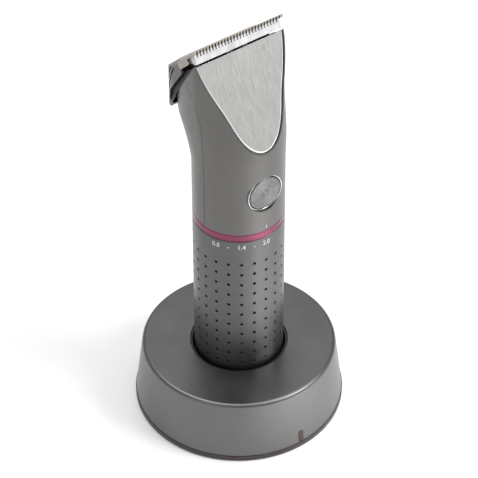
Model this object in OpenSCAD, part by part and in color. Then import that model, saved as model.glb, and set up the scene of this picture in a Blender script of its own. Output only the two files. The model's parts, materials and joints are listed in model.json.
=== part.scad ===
// Cordless body groomer standing in its round charging dock, as separate pieces.
// Millimetres. The origin is the centre of the dock's underside, +Z is up and the front faces -Y.
// Pieces of the groomer are drawn in its own frame, whose z = 0 is the underside of its bottom cap.

/* [Dock] */
// Height of the dock
dock_h = 31.1; // [30.8:0.1:31.6]
// Radius of the dock's flat top
dock_top_r = 43.8; // [43.6:0.1:44]
// Radius of the dock at the floor
dock_base_r = 47.4; // [47:0.1:48]
// Radius of the hole that the groomer stands in
dock_hole_r = 21.8; // [21.8:0.1:22]
// Radius of the rounded top edge
dock_edge_r = 1.8; // [1.5:0.1:2]
// Wall of the dock's shell
dock_wall = 2.2; // [2:0.1:2.4]
// Height of the base plate's rim
base_h = 2.9; // [2.7:0.1:3]
// Height of the rubber feet below the base plate
foot_h = 0.6; // [0.5:0.1:0.8]

/* [Grip] */
// Radius of the grip and of the housing above it
barrel_r = 20; // [20:0.05:20.1]
// Height of the groomer's underside in the dock
seat_z = 10.1; // [10:0.1:10.3]
// Top of the turning grip sleeve
sleeve_top = 95.6; // [95.5:0.1:95.6]
// Height of the accent ring
ring_h = 3.95; // [3.8:0.05:4]
// Turn of the grip sleeve between the longest and the shortest setting, in degrees
dial_turn = 65.45; // [60:0.05:66]
// Travel of the cutter between the longest and the shortest setting
taper_travel = 1.2; // [1:0.1:1.2]

/* [Housing] */
// Wall of the housing shells
wall = 1.7; // [1.5:0.1:1.9]
// Height of the power button's centre
button_z = 119.3; // [119:0.1:120]
// Radius of the power button
button_r = 7.9; // [7.8:0.05:7.9]
// Tilt of the face plate from upright, in degrees
face_tilt = 23.9; // [23.8:0.1:24]
// Thickness of the face plate
face_t = 0.9; // [0.8:0.1:1]

/* [Blade set] */
// Half the width of the comb
comb_half = 22.4; // [22.2:0.1:22.6]
// Distance between the comb's teeth
tooth_pitch = 1.5; // [1.4:0.1:1.6]
// Travel of the cutter to each side
cut_travel = 1; // [0.8:0.1:1]

/* [Hidden] */

$fn = 64;
eps = 0.01;
big = 120;

// Colours
gunmetal = [0.42, 0.42, 0.41];
black = [0.05, 0.05, 0.055];
steel = [0.78, 0.78, 0.77];
brass = [0.80, 0.66, 0.35];
board_green = [0.08, 0.30, 0.18];

// Dock
well_bottom = 8;
well_floor = seat_z - 0.05;
well_r = 21;
well_guide_r = 20.4;
well_guide_top = 20;
dock_slope = (dock_base_r - dock_top_r) / dock_h;
lens_w = 2.7;
lens_top = 9.3;
inlet_z = 9.5;
inlet_w = 9;
inlet_h = 8.4;
inlet_back = 45.6;
inlet_depth = 11;
pin_x = 5;
pin_r = 1;
pin_top = seat_z + 0.75;
pin_foot = 4.9;
board_t = 1.6;
board_z = 3.2;
screw_ring_r = 28;
foot_ring_r = 38;
foot_r = 4;

// Grip
sleeve_bottom = 5.3;
sleeve_wall = 1.9;
core_r = 15;
core_wall = 1.5;
core_top = 103;
fit = 0.1;
cam_r = 17.9;
cam_mid_z = 97.4;
rod_top = 179.5;
rod_x = 16.2;
rod_y = 3;
rod_angle = atan2(rod_y, rod_x);
rod_rise = taper_travel * sqrt(0.5);
rod_ring_r = norm([rod_x, rod_y]);
rod_foot = cam_mid_z - rod_rise / 2 + 0.14;
cam_tilt = atan(rod_rise / (2 * rod_ring_r * sin(dial_turn / 2)));
ring_z = 95.75;
housing_z = ring_z + ring_h;
battery_r = 9.1;
battery_h = 65;
battery_z = 12;

// Housing outline
flare_z = 125;
flare_run = 21;
flare_gain = 5.5;
back_most = 7;
head_z = 184.1;
head_grow = 2.7;
front_taper = 0.54;
taper_z = [136, 166];
back_square = 0.6;
back_square_run = 25;
facets = 56;
levels = [housing_z, flare_z, 132, 138, 143, 148, 154, 160, 168, 176, head_z];

// Face plate, in side view [y, z]
face_tip = [-barrel_r, 141];
face_dir = [sin(face_tilt), cos(face_tilt)];
face_out = [-cos(face_tilt), sin(face_tilt)];
face_len = (head_z - face_tip[1]) / cos(face_tilt);
face_inset = 0.9;
face_gap = 0.3;

// Rim of the housing, the plane that the blade set sits on
rim_front = face_tip + face_len * face_dir;
rim_tilt = atan(1 / 1.5);
rim_dir = [sin(rim_tilt), -cos(rim_tilt)];
rim_out = [cos(rim_tilt), sin(rim_tilt)];
mouth_s = [4.1, 43.8];
mouth_steps = 16;
seam_y = -2.5;
seam_bend_z = 150;
seam_bend = 9.2;
seam_run = 25.3;
seam_gap = 0.06;

// Motor and drive
motor_y = 4;
motor_r = 11.8;
motor_z = 127;
motor_h = 27;
shaft_r = 1;
throw = 1;
drive_pin_r = 0.8;
drive_pin_top = 180;
yoke_x = 4.15;
hub_z = 160;
hub_r = 3.6;

// Blade set: u runs back down the comb from its tip, w runs from the comb into the groomer
tip = [-0.3, 189.6];
diag = sqrt(0.5);
comb_t = 1.2;
comb_len = 24;
screw_x = 12;
tooth_len = 4.5;
tooth_gap = 0.7;
teeth = floor(2 * (comb_half - 1) / tooth_pitch);
tooth_step = 2 * (comb_half - 1) / teeth;
cutter_t = 2.2;
cutter_len = 11;
arm_w = 3.3;
tab_z = rod_top + 0.1;
cutter_half = comb_half - cut_travel;
cutter_back_half = 19.2;
notch_z = 187.4;
hood_half = 22;
hood_back = 27.8;
hood_top_w = -2.5;
hood_u = 16.5;
hood_corner_r = 14;
hood_side_r = 13.5;
hood_edge_r = 5;
hood_t = 1.05;
hood_gap = 3;
heel = [25.3, 148.2];
heel_r = 2.6;
heel_pin_r = 0.75;
ear_x = 6;
knuckle_r = 1.4;

// --- Outline functions ---
function smooth(t) = let(k = max(0, min(1, t))) k * k * (3 - 2 * k);
function signed_pow(v, p) = sign(v) * pow(abs(v), p);
function half_width(z) = barrel_r + head_grow * smooth((z - flare_z) / (head_z - flare_z));
function back_depth(z) = barrel_r + min(back_most, flare_gain * pow(max(0, z - flare_z) / flare_run, 2));
function front_n(z) = 2 - front_taper * smooth((z - taper_z[0]) / (taper_z[1] - taper_z[0]));
function back_n(z) = 2 + back_square * smooth((z - flare_z) / back_square_run);
function section(z, inset) = [for (i = [0 : facets - 1])
    let(t = 360 * i / facets, front = sin(t) < 0)
    let(n = front ? front_n(z) : back_n(z), depth = front ? barrel_r : back_depth(z))
    [(half_width(z) - inset) * signed_pow(cos(t), 2 / n), (depth - inset) * signed_pow(sin(t), 2 / n)]];
function face_point(u, d) = face_tip + u * face_dir + d * face_out;
function rim_point(s, d) = rim_front + s * rim_dir + d * rim_out;
function blade_point(u, w) = tip + u * [diag, -diag] - w * [diag, diag];
function seam(z) = seam_y + seam_bend * pow(max(0, z - seam_bend_z) / seam_run, 1.8);
// Half the width of the housing's cut by the face plane, u up from its lowest point
function face_half(u) = let(p = face_point(u, 0), n = front_n(p[1]))
    half_width(p[1]) * pow(max(0, 1 - pow(-p[0] / barrel_r, n)), 1 / n);
// Half the width of the housing's inside at the rim, s back from its front edge
function mouth_half(s, inset) = let(p = rim_point(s, 0), back = p[0] > 0)
    let(n = back ? back_n(p[1]) : front_n(p[1]), depth = (back ? back_depth(p[1]) : barrel_r) - inset)
    (half_width(p[1]) - inset) * pow(max(0, 1 - pow(min(1, abs(p[0]) / depth), n)), 1 / n);
function mouth_at(i) = mouth_s[0] + (mouth_s[1] - mouth_s[0]) * i / mouth_steps;
function arc(c, r, from, to, steps) = [for (i = [0 : steps])
    let(a = from + (to - from) * i / steps) c + r * [cos(a), sin(a)]];

// --- Shared shapes ---
module groomer() translate([0, 0, seat_z]) children();
// An outline in side view [y, z], made width wide across X
module side_view(width) rotate([90, 0, 90]) linear_extrude(width, center = true) children();
module tube(r, r_in, h) difference() {
    cylinder(r = r, h = h);
    translate([0, 0, -1]) cylinder(r = r_in, h = h + 2);
}
// One slab of the housing between two heights, drawn at the housing's outline less inset
module slab(z0, z1, inset) {
    ring = [for (i = [0 : facets - 1]) i];
    hull() polyhedron(
        [for (z = [z0, z1], p = section(z, inset)) [p[0], p[1], z]],
        concat([ring, [for (i = ring) 2 * facets - 1 - i]],
            [for (i = ring) let(k = (i + 1) % facets) [i, facets + i, facets + k, k]]));
}
module loft(inset) for (i = [0 : len(levels) - 2]) slab(levels[i], levels[i + 1], inset);
module behind_face(depth) side_view(big) polygon([
    face_point(-big, -depth), face_point(big, -depth),
    face_point(big, -depth - big), face_point(-big, -depth - big)]);
module below_rim(d) side_view(big) polygon([
    rim_point(-big, d), rim_point(big, d), rim_point(big, d - big), rim_point(-big, d - big)]);
module above_rim(d) side_view(big) polygon([
    rim_point(-big, d), rim_point(big, d), rim_point(big, d + big), rim_point(-big, d + big)]);
module seam_front(gap) side_view(big) polygon(concat(
    [[-big, head_z + 5], [-big, housing_z - 1], [seam_y - gap, housing_z - 1]],
    [for (z = [seam_bend_z : 3 : head_z + 5]) [seam(z) - gap, z]]));
// A bar along the axis that the blade set opens about
module heel_bar(r, length) translate([0, heel[0], heel[1]]) rotate([0, 90, 0])
    cylinder(r = r, h = length, center = true, $fn = 40);
module from_front(y, z) translate([0, y, z]) rotate([90, 0, 0]) children();
// A screw whose head rests at z = 0 and whose shank points down
module screw(head_r, head_h, r, length) {
    difference() {
        cylinder(r = head_r, h = head_h);
        for (a = [0, 90]) rotate([0, 0, a]) translate([-head_r * 0.6, -head_r * 0.12, head_h * 0.45])
            cube([head_r * 1.2, head_r * 0.24, head_h]);
    }
    translate([0, 0, -length]) cylinder(r = r, h = length + eps);
}
// Places children on the rim plane, +Z pointing out of the groomer and +Y running back down
module on_rim(s, d) translate([0, rim_point(s, d)[0], rim_point(s, d)[1]])
    rotate([rim_tilt - 90, 0, 0]) children();
// Places children in the comb's plane, +Z pointing out of the comb and +Y running back down
module on_comb(u, w) translate([0, blade_point(u, w)[0], blade_point(u, w)[1]])
    rotate([-45, 0, 0]) children();
// Coil spring as a swept wire
module coil(r, wire_r, h, turns) {
    sides = 6;
    per_turn = 12;
    rings = turns * per_turn;
    points = [for (i = [0 : rings]) let(a = 360 * i / per_turn, z = wire_r + (h - 2 * wire_r) * i / rings)
        for (j = [0 : sides - 1]) let(b = 360 * j / sides)
        [(r + wire_r * cos(b)) * cos(a), (r + wire_r * cos(b)) * sin(a), z + wire_r * sin(b)]];
    walls = [for (i = [0 : rings - 1], j = [0 : sides - 1]) let(k = (j + 1) % sides)
        [i * sides + j, (i + 1) * sides + j, (i + 1) * sides + k, i * sides + k]];
    start_cap = [[for (j = [0 : sides - 1]) j]];
    end_cap = [[for (j = [sides - 1 : -1 : 0]) rings * sides + j]];
    polyhedron(points, concat(walls, start_cap, end_cap));
}

// --- Dock ---
function dock_r(z) = dock_base_r - dock_slope * z;
function dock_outline(grow) = concat(
    [[dock_hole_r, dock_h + grow], [dock_hole_r, 0], [dock_r(0) + grow, 0]],
    arc([dock_top_r - dock_edge_r + grow, dock_h - dock_edge_r + grow], dock_edge_r, 8, 90, 10));
module dock_body(grow) rotate_extrude() polygon(dock_outline(grow));
module lens_slot(extra, top) {
    across = lens_w + 2 * extra;
    from_front(-dock_top_r + 2, 0) linear_extrude(8) {
        translate([-across / 2, base_h]) square([across, top - base_h - across / 2]);
        translate([0, top - across / 2]) circle(r = across / 2);
    }
}
module inlet_hole(extra) translate([-inlet_w / 2 - extra, 36, inlet_z - inlet_h / 2 - extra])
    cube([inlet_w + 2 * extra, 16, inlet_h + 2 * extra]);

module dock_shell() color(gunmetal) difference() {
    intersection() {
        dock_body(0);
        translate([0, 0, base_h]) cylinder(r = big, h = dock_h);
    }
    translate([0, 0, base_h - 1]) cylinder(r1 = dock_r(base_h - 1) - dock_wall,
        r2 = dock_r(dock_h - dock_wall) - dock_wall, h = dock_h - dock_wall - base_h + 1);
    lens_slot(0.05, lens_top);
    inlet_hole(0.1);
}
module dock_base_plate() color([0.10, 0.085, 0.085]) difference() {
    union() {
        translate([0, 0, foot_h]) cylinder(r = dock_r(foot_h), h = base_h - foot_h);
        translate([0, 0, base_h - eps])
            tube(dock_r(base_h) - dock_wall - 0.5, dock_r(base_h) - dock_wall - 2, 1.5);
    }
    for (a = [45 : 90 : 315]) rotate([0, 0, a]) {
        translate([foot_ring_r, 0, foot_h - 1]) cylinder(r = foot_r + fit, h = 1.8);
        translate([screw_ring_r, 0, -1]) cylinder(r = 1.3, h = 8);
        translate([screw_ring_r, 0, foot_h - 1]) cylinder(r = 2.6, h = 2);
    }
    lens_slot(0.3, base_h + 3);
    inlet_hole(0.4);
}
module dock_well() color(black) difference() {
    union() {
        translate([0, 0, well_bottom]) cylinder(r = dock_hole_r - 0.05, h = dock_h - 0.5 - well_bottom);
        translate([0, 0, dock_h - dock_wall - 2]) cylinder(r = dock_hole_r + 3, h = 1.9);
        for (a = [45 : 90 : 315]) rotate([0, 0, a]) translate([screw_ring_r, 0, base_h + 0.05])
            cylinder(r = 2.8, h = dock_h - dock_wall - base_h - 0.2);
        for (a = [45 : 90 : 315]) rotate([0, 0, a])
            translate([dock_hole_r - 1, -1, base_h + 2]) cube([5, 2, dock_h - dock_wall - base_h - 4]);
    }
    translate([0, 0, well_floor]) cylinder(r = well_guide_r, h = dock_h);
    translate([0, 0, well_guide_top]) cylinder(r = well_r, h = dock_h);
    for (a = [45 : 90 : 315]) rotate([0, 0, a]) translate([screw_ring_r, 0, 0])
        cylinder(r = 1.0, h = 14);
    translate([-9, -4, well_bottom - 1]) cube([18, 8, 6]);
}
module contact_block() color(black) difference() {
    translate([-8.8, -3.8, board_z + board_t]) cube([17.6, 7.6, well_floor - board_z - board_t]);
    for (x = [-pin_x, pin_x]) translate([x, 0, 0]) {
        cylinder(r = pin_r + fit, h = 20);
        translate([0, 0, board_z]) cylinder(r = 1.8, h = 5.5);
    }
}
module rubber_feet() color(black) for (a = [45 : 90 : 315]) rotate([0, 0, a])
    translate([foot_ring_r, 0, 0]) cylinder(r = foot_r, h = foot_h + 0.75);
module dock_screws() color(steel) for (a = [45 : 90 : 315]) rotate([0, 0, a])
    translate([screw_ring_r, 0, foot_h + 0.98]) rotate([180, 0, 0]) screw(2.3, 0.9, 1.0, 8);
module dock_circuit_board() color(board_green) difference() {
    translate([-11, -40, board_z]) cube([22, 76, board_t]);
    for (x = [-pin_x, pin_x]) translate([x, 0, 0]) cylinder(r = 0.5, h = 10);
}
module indicator_led() color([0.55, 0.06, 0.05]) {
    translate([-1.5, -39.6, board_z + board_t]) cube([3, 2.4, 1.6]);
    from_front(-39.6 + eps, board_z + board_t + 0.8) cylinder(r = 0.7, h = 1);
}
module indicator_lens() color([0.45, 0.10, 0.12, 0.8]) intersection() {
    lens_slot(0, lens_top - 0.05);
    difference() {
        cylinder(r1 = dock_base_r + 0.12, r2 = dock_top_r + 0.12, h = dock_h);
        translate([0, 0, -1]) cylinder(r = dock_r(lens_top) - dock_wall - 0.6, h = dock_h);
    }
}
module dc_inlet() color(black) {
    difference() {
        translate([-inlet_w / 2, inlet_back - inlet_depth, inlet_z - inlet_h / 2])
            cube([inlet_w, inlet_depth, inlet_h]);
        translate([0, inlet_back + 1, inlet_z]) rotate([90, 0, 0]) cylinder(r = 2.8, h = inlet_depth - 1);
    }
    translate([0, inlet_back - 1, inlet_z]) rotate([90, 0, 0]) cylinder(r = 0.65, h = inlet_depth - 2);
}
module charge_pin(x) color(brass) translate([x, 0, 0]) {
    translate([0, 0, pin_foot + 2.4]) cylinder(r = pin_r, h = pin_top - pin_r - pin_foot - 2.4);
    translate([0, 0, pin_top - pin_r]) sphere(r = pin_r);
    translate([0, 0, pin_foot + 1.7]) cylinder(r = 1.6, h = 0.75);
}
module charge_pin_left() charge_pin(-pin_x);
module charge_pin_right() charge_pin(pin_x);
module pin_spring(x) color(steel) translate([x, 0, board_z + board_t + 0.02])
    coil(1.25, 0.16, pin_foot + 1.7 - board_z - board_t - 0.04, 3);
module pin_spring_left() pin_spring(-pin_x);
module pin_spring_right() pin_spring(pin_x);

// --- Groomer: bottom, core and battery ---
module bottom_cap() color(black) groomer() difference() {
    union() {
        cylinder(r1 = 18.8, r2 = 19.7, h = 1.2);
        translate([0, 0, 1.2 - eps]) cylinder(r = 19.7, h = 3.9);
        translate([0, 0, 5]) cylinder(r = core_r - core_wall - 0.05, h = 3);
    }
    for (x = [-pin_x, pin_x]) translate([x, 0, -1]) cylinder(r = 2.2, h = 2.15);
    translate([0, 0, 3.2]) cylinder(r = core_r - core_wall - 1.6, h = 6);
    for (x = [-pin_x, pin_x]) translate([x, 0, -1]) cylinder(r = 1.2, h = 6);
}
module charge_contacts() color(brass) groomer() for (x = [-pin_x, pin_x]) translate([x, 0, 0.9]) {
    cylinder(r = 1.15, h = 3.6);
    translate([0, 0, -0.05]) cylinder(r = 2.1, h = 0.3);
}
module core_tube() color(black) groomer() translate([0, 0, 5.15])
    tube(core_r, core_r - core_wall, core_top - 5.15);
module battery_cell() color([0.16, 0.33, 0.62]) groomer() translate([0, 0, battery_z]) {
    cylinder(r = battery_r, h = battery_h);
    translate([0, 0, battery_h - eps]) cylinder(r = 3, h = 1);
}
module battery_tabs() color(steel) groomer() {
    translate([-3, -1, battery_z - 0.3]) cube([6, 12.2, 0.3]);
    translate([-3, 10.9, battery_z - 0.3]) cube([6, 0.3, 74]);
    translate([-2.5, -12.2, battery_z + battery_h + 1]) cube([5, 14, 0.3]);
    translate([-2.5, -12.2, battery_z + battery_h + 1]) cube([5, 0.3, 14]);
}
module collar() color(black) groomer() difference() {
    union() {
        translate([0, 0, housing_z]) tube(barrel_r - wall - 0.05, core_r, core_top - housing_z);
        translate([0, 0, core_top]) cylinder(r = core_r + 1.5, h = 1.2);
    }
    translate([rod_x, rod_y, 90]) cylinder(r = 1.4, h = 30);
    translate([-12, -9, 100]) cube([24, 5, 10]);
}
module seal_ring() color(black) groomer() translate([0, 0, housing_z - 0.32])
    rotate_extrude() translate([barrel_r - 2.08, 0]) circle(r = 0.3, $fn = 24);
module accent_ring() color([0.55, 0.33, 0.42]) groomer() translate([0, 0, ring_z]) difference() {
    tube(barrel_r, barrel_r - 1.75, ring_h);
    translate([0, 0, 0.35]) tube(barrel_r + 1, barrel_r - 0.15, 0.25);
    translate([0, 0, ring_h - 0.6]) tube(barrel_r + 1, barrel_r - 0.15, 0.25);
}

// --- Groomer: housing ---
module housing_shell() difference() {
    intersection() {
        loft(0);
        behind_face(0);
        below_rim(0);
    }
    intersection() {
        loft(wall);
        behind_face(face_t + 1.4);
        below_rim(big / 2);
    }
    translate([0, 0, housing_z - 1]) cylinder(r = barrel_r - wall, h = 10);
    heel_bar(heel_r + 0.35, big);
}
function plate_outline(inset) = let(steps = 18, low = face_inset * 0.6) concat(
    [for (i = [steps : -1 : 0]) let(u = low + (face_len - 0.35 - low) * pow(i / steps, 2))
        [-max(0.01, face_half(u) - inset * smooth(u / 6)), u]],
    [for (i = [1 : steps]) let(u = low + (face_len - 0.35 - low) * pow(i / steps, 2))
        [max(0.01, face_half(u) - inset * smooth(u / 6)), u]]);
module on_face(d) translate([0, face_point(0, d)[0], face_point(0, d)[1]])
    rotate([90 - face_tilt, 0, 0]) children();
module face_pocket() on_face(-face_t) linear_extrude(face_t + 3) union() {
    polygon(plate_outline(face_inset - face_gap));
    translate([-comb_half, face_len - 1]) square([2 * comb_half, 5]);
}
module front_housing() color(gunmetal) groomer() difference() {
    intersection() {
        housing_shell();
        seam_front(seam_gap);
    }
    face_pocket();
    from_front(0, button_z) cylinder(r = button_r + 1, h = 30, $fn = 48);
}
module rear_housing() color(gunmetal) groomer() difference() {
    housing_shell();
    seam_front(0);
}
module face_plate() color([0.78, 0.78, 0.76]) groomer() on_face(-face_t + 0.02) linear_extrude(face_t)
    polygon(plate_outline(face_inset));
module button_bezel() color([0.85, 0.85, 0.85]) groomer() from_front(-13.4, button_z)
    tube(button_r + 0.9, button_r + 0.3, 5.6);
module power_button() color([0.60, 0.60, 0.60]) groomer() from_front(-15.2, button_z) {
    cylinder(r = button_r, h = 4);
    translate([0, 0, -2.4]) cylinder(r = 2.2, h = 2.4 + eps);
}
module tact_switch() color(black) groomer() {
    translate([-3, -10.6, button_z - 3]) cube([6, 1.5, 6]);
    from_front(-10.6 + eps, button_z) cylinder(r = 1.6, h = 1);
}
module circuit_board() color(board_green) groomer() {
    translate([-11, -9.1, 105]) cube([22, board_t, 42]);
    translate([-6, -10.3, 108]) cube([5, 1.2 + eps, 5]);
    translate([2, -9.9, 130]) cube([3, 0.8 + eps, 4]);
}

// --- Groomer: motor ---
module motor_can() color(steel) groomer() translate([0, motor_y, motor_z]) difference() {
    union() {
        cylinder(r = motor_r - 1, h = motor_h);
        translate([0, 0, 2]) cylinder(r = motor_r - 0.6, h = motor_h - 4);
        translate([0, 0, motor_h - eps]) cylinder(r = 3, h = 1.2);
    }
    translate([0, 0, -1]) cylinder(r = shaft_r + 0.06, h = motor_h + 4);
}
module motor_bracket() color(steel) groomer() translate([0, motor_y, motor_z + motor_h]) difference() {
    union() {
        cylinder(r = motor_r - 1, h = 1.5);
        translate([-14.4, -3.5, 0]) cube([28.8, 7, 1.5]);
    }
    translate([0, 0, -1]) cylinder(r = 3.1, h = 4);
    for (x = [-6.5, 6.5]) translate([x, 0, -1]) cylinder(r = 1.05, h = 4);
}
module motor_leads() color([0.65, 0.08, 0.06]) groomer() for (x = [-5, 5]) {
    translate([x, -6.8, 118]) cylinder(r = 0.6, h = 6);
    translate([x, -6.8, 124]) sphere(r = 0.6);
    translate([x, -6.8, 124]) rotate([-90, 0, 0]) cylinder(r = 0.6, h = motor_y + 4);
    translate([x, motor_y - 2.8, 124]) sphere(r = 0.6);
    translate([x, motor_y - 2.8, 124]) cylinder(r = 0.6, h = motor_z - 124);
}
module bracket_screws() color(steel) groomer() for (x = [-6.5, 6.5])
    translate([x, motor_y, motor_z + motor_h + 1.5]) screw(1.9, 1, 0.95, 1.5);
module motor_shaft() color(steel) groomer() translate([0, motor_y, motor_z + 1])
    cylinder(r = shaft_r, h = hub_z + 2 - motor_z - 1);
module eccentric() color([0.90, 0.90, 0.88]) groomer() {
    translate([0, motor_y, hub_z]) difference() {
        cylinder(r = hub_r, h = 5);
        translate([0, 0, -1]) cylinder(r = shaft_r, h = 3);
    }
    translate([0, motor_y - throw, hub_z + 5 - eps])
        cylinder(r = drive_pin_r, h = drive_pin_top - hub_z - 5);
}
module mouth_plate(inset, t) linear_extrude(t) polygon(concat(
    [for (i = [0 : mouth_steps]) let(s = mouth_at(i)) [-mouth_half(s, inset), s]],
    [for (i = [mouth_steps : -1 : 0]) let(s = mouth_at(i)) [mouth_half(s, inset), s]]));
module bulkhead() color(black) groomer() difference() {
    union() {
        difference() {
            on_rim(0, -1.9) mouth_plate(wall + 0.35, 1.6);
            heel_bar(heel_r + 0.35, 60);
        }
        for (x = [-ear_x, ear_x]) translate([x, 0, 0]) side_view(2.6) polygon(concat(
            arc(heel, knuckle_r, -118, 62, 10), [rim_point(35, -1), rim_point(39, -1.6)]));
    }
    translate([0, motor_y, 150]) cylinder(r = throw + drive_pin_r + 0.5, h = 40);
    translate([rod_x, rod_y, 150]) cylinder(r = 1.5, h = 40);
    heel_bar(heel_pin_r, 40);
    for (x = [-screw_x, screw_x]) translate([x, 0, 0]) on_rim(20, -3) cylinder(r = 1.05, h = 6);
}
module bulkhead_screws() color(steel) groomer() for (x = [-screw_x, screw_x]) translate([x, 0, 0])
    on_rim(20, -0.3) translate([0, 0, -0.02]) screw(1.9, 0.5, 1.05, 6);
module heel_pin() color(steel) groomer() heel_bar(heel_pin_r, 19.6);

// --- Grip dial ---
module grip_sleeve() color(gunmetal) groomer() difference() {
    translate([0, 0, sleeve_bottom]) cylinder(r = barrel_r, h = sleeve_top - sleeve_bottom);
    translate([0, 0, sleeve_bottom + 4]) cylinder(r = barrel_r - sleeve_wall, h = 79);
    cylinder(r = core_r + fit, h = 110);
}
module cam_ring() color([0.85, 0.85, 0.82]) groomer() difference() {
    translate([0, 0, sleeve_top]) tube(cam_r, core_r + fit + 0.05, 4);
    rotate([0, 0, rod_angle - dial_turn / 2]) translate([0, 0, cam_mid_z]) rotate([-cam_tilt, 0, 0])
        translate([-30, -30, 0]) cube(60);
}
module dial_detent() color(steel) groomer() {
    translate([-2.5, -core_r - 0.35, 78]) cube([5, 0.35, 9]);
    translate([0, -core_r - 1.3, 84]) sphere(r = 1.15);
}
module push_rod() color([0.85, 0.85, 0.82]) groomer() translate([rod_x, rod_y, rod_foot])
    cylinder(r = 1.1, h = rod_top - rod_foot);

// --- Blade set ---
module blade_frame() color(black) groomer() difference() {
    union() {
        intersection() {
            union() {
                for (x = [-1, 1]) translate([x * 19.1, 0, 0]) side_view(1.8) polygon([
                    blade_point(7, 4), blade_point(16, 4), blade_point(16, 0.05), blade_point(30, 0.05),
                    [24.9, 163], [24.9, 152], [22.5, 148], blade_point(20, 14)]);
                side_view(38.2) polygon([blade_point(16, 0.05), blade_point(26, 0.05),
                    blade_point(26, 3.2), blade_point(16, 3.2)]);
                side_view(38.2) polygon([[23.4, 163], [24.9, 163], [24.9, 152], [23.4, 152]]);
            }
            above_rim(0.45);
            hood_plan(hood_t + 0.1);
            hood_section(hood_t + 0.1);
        }
        for (x = [-8.75, 0, 8.75]) translate([x, 0, 0]) side_view(x == 0 ? 8.8 : 2.4) polygon(concat(
            arc(heel, knuckle_r, 180, 360, 12), [[24.9, 153], [23.6, 153]]));
        for (x = [-screw_x, screw_x]) translate([x, 0, 0]) on_comb(20.5, 5) cylinder(r = 2.2, h = 2.4);
    }
    heel_bar(heel_pin_r + 0.05, 40);
    for (x = [-screw_x, screw_x]) translate([x, 0, 0]) on_comb(20.5, 6) cylinder(r = 0.95, h = 7);
}
function hood_side(t) = concat(
    [blade_point(hood_u, hood_top_w + t)],
    arc([hood_back - hood_corner_r, hood_arc_z], hood_corner_r - t, 45, 0, 10),
    arc(heel, heel_r - t, 0, -96, 9));
// Height of the centre of the arc that joins the hood's slope to its upright back
hood_arc_z = let(p = blade_point(0, hood_top_w)) p[0] + p[1] - (hood_back - hood_corner_r)
    - hood_corner_r / diag;
module hood_plan(t) translate([0, 0, 100]) linear_extrude(100) union() {
    translate([-hood_half + t, -20]) square([2 * (hood_half - t), hood_back + 20 - hood_side_r]);
    translate([-hood_half + hood_side_r, -20]) square([2 * (hood_half - hood_side_r), hood_back + 20 - t]);
    for (x = [-1, 1]) translate([x * (hood_half - hood_side_r), hood_back - hood_side_r])
        circle(r = hood_side_r - t);
}
// The hood as seen along the comb's plane, with its long edges rounded
module hood_section(t) on_comb(0, 0) rotate([-90, 0, 0]) linear_extrude(60) union() {
    translate([-hood_half + t, hood_top_w + hood_edge_r]) square([2 * (hood_half - t), 50]);
    translate([-hood_half + hood_edge_r, hood_top_w + t]) square([2 * (hood_half - hood_edge_r), 50]);
    for (x = [-1, 1]) translate([x * (hood_half - hood_edge_r), hood_top_w + hood_edge_r])
        circle(r = hood_edge_r - t);
}
module blade_cover() color(gunmetal) groomer() difference() {
    intersection() {
        side_view(big) polygon(concat(hood_side(0),
            [rim_point(33.2, hood_gap - 1.2), rim_point(31, hood_gap), rim_point(13, hood_gap),
             blade_point(hood_u, 2.4)]));
        hood_plan(0);
        hood_section(0);
    }
    intersection() {
        side_view(big) polygon(concat(
            [blade_point(hood_u - 2, hood_top_w + hood_t)], hood_side(hood_t),
            [rim_point(40, -2), rim_point(10, -2), blade_point(hood_u - 2, 3)]));
        hood_plan(hood_t);
        hood_section(hood_t);
    }
    for (x = [-ear_x, ear_x]) translate([x, 0, 0]) side_view(3.4) polygon([
        heel + [-1.6, 1], heel + [-4, -1], heel + [-4, -4], heel + [0.9, -4], heel + [0.9, -1]]);
}
module comb_blade() color(steel) groomer() difference() {
    union() {
        side_view(2 * comb_half) polygon([tip, tip + [0, comb_t / diag],
            blade_point(15.8, -comb_t), blade_point(15.8, 0)]);
        side_view(36) polygon([blade_point(15, 0), blade_point(15, -comb_t),
            blade_point(comb_len, -comb_t), blade_point(comb_len, 0)]);
        for (x = [-1, 1]) translate([x * (comb_half - 0.35), 0, 0]) side_view(0.7) polygon([
            blade_point(6, -comb_t), blade_point(15.8, -comb_t), blade_point(15.8, 2.2),
            blade_point(7.5, 2.2)]);
    }
    for (i = [-(teeth - 1) / 2 : (teeth - 1) / 2]) translate([i * tooth_step, 0, 0]) side_view(tooth_gap)
        polygon([tip - [4, 3], tip + [-4, 4], blade_point(tooth_len, -3), blade_point(tooth_len, 1)]);
    for (x = [-screw_x, screw_x]) translate([x, 0, 0]) on_comb(20.5, 1) cylinder(r = 1.1, h = 4);
}
module blade_screws() color(steel) groomer() for (x = [-screw_x, screw_x]) translate([x, 0, 0])
    on_comb(20.5, -comb_t) screw(1.9, 0.15, 0.9, 5);
module taper_carriage() color([0.12, 0.12, 0.13]) groomer() {
    difference() {
        side_view(36.4) polygon([blade_point(11.3, 0.1), blade_point(14.4, 0.1),
            blade_point(14.4, 3.7), blade_point(11.3, 3.7)]);
        side_view(6) polygon([blade_point(11, 1.8), blade_point(15, 1.8),
            blade_point(15, 4), blade_point(11, 4)]);
    }
    for (x = [-1, 1]) translate([x * 16.4, 0, 0]) side_view(3.6) polygon([blade_point(5.4, cutter_t + 0.1),
        blade_point(12, cutter_t + 0.1), blade_point(12, arm_w), blade_point(5.4, arm_w)]);
    translate([rod_x, 0, 0]) side_view(3) polygon([blade_point(7, arm_w - 0.1),
        blade_point((tip[1] - tab_z) / diag - arm_w + 0.1, arm_w - 0.1), [rod_y - 0.7, tab_z]]);
}
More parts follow.
